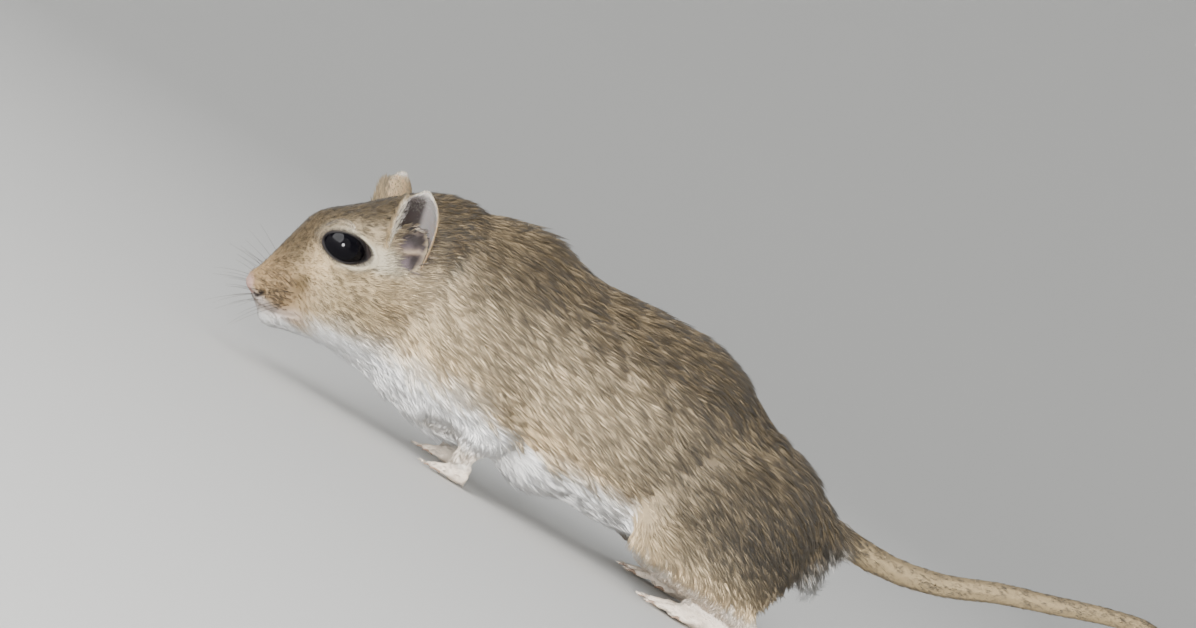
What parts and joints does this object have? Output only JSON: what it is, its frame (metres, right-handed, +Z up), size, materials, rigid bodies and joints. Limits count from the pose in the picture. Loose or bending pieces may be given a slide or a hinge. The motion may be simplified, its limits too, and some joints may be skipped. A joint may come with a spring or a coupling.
{
  "type": "gerbil figure",
  "caption": "Life-size still gerbil on all fours, body stretched low, head turned a little to its left, long tail arched back to the floor.",
  "frame": {"origin": "centre of the bounding box in X and Y, at its bottom, the floor under the feet", "axes": "+X runs from the nose to the tail along the animal, +Y to its right side, +Z up"},
  "size_m": [0.2094, 0.039, 0.0458],
  "materials": {
    "coat": "golden agouti fur",
    "pale_coat": "short cream fur of the feet",
    "dark_brush": "dark longer fur at the end of the tail",
    "ear_skin": "thin bare skin with fine down",
    "eye": "wet, glossy, nearly black"
  },
  "bodies": {
    "root": {"eye_left": "eye", "ear_left": "ear_skin", "eye_right": "eye", "ear_right": "ear_skin", "head": "coat", "neck": "coat", "torso": "coat", "thigh_left": "coat", "shank_left": "coat", "upper_arm_left": "coat", "forearm_left": "coat", "hind_foot_left": "pale_coat", "forepaw_left": "pale_coat", "thigh_right": "coat", "shank_right": "coat", "upper_arm_right": "coat", "forearm_right": "coat", "hind_foot_right": "pale_coat", "forepaw_right": "pale_coat", "tail_base": "coat", "tail_middle": "coat", "tail_tip": "dark_brush"}
  },
  "joints": []
}
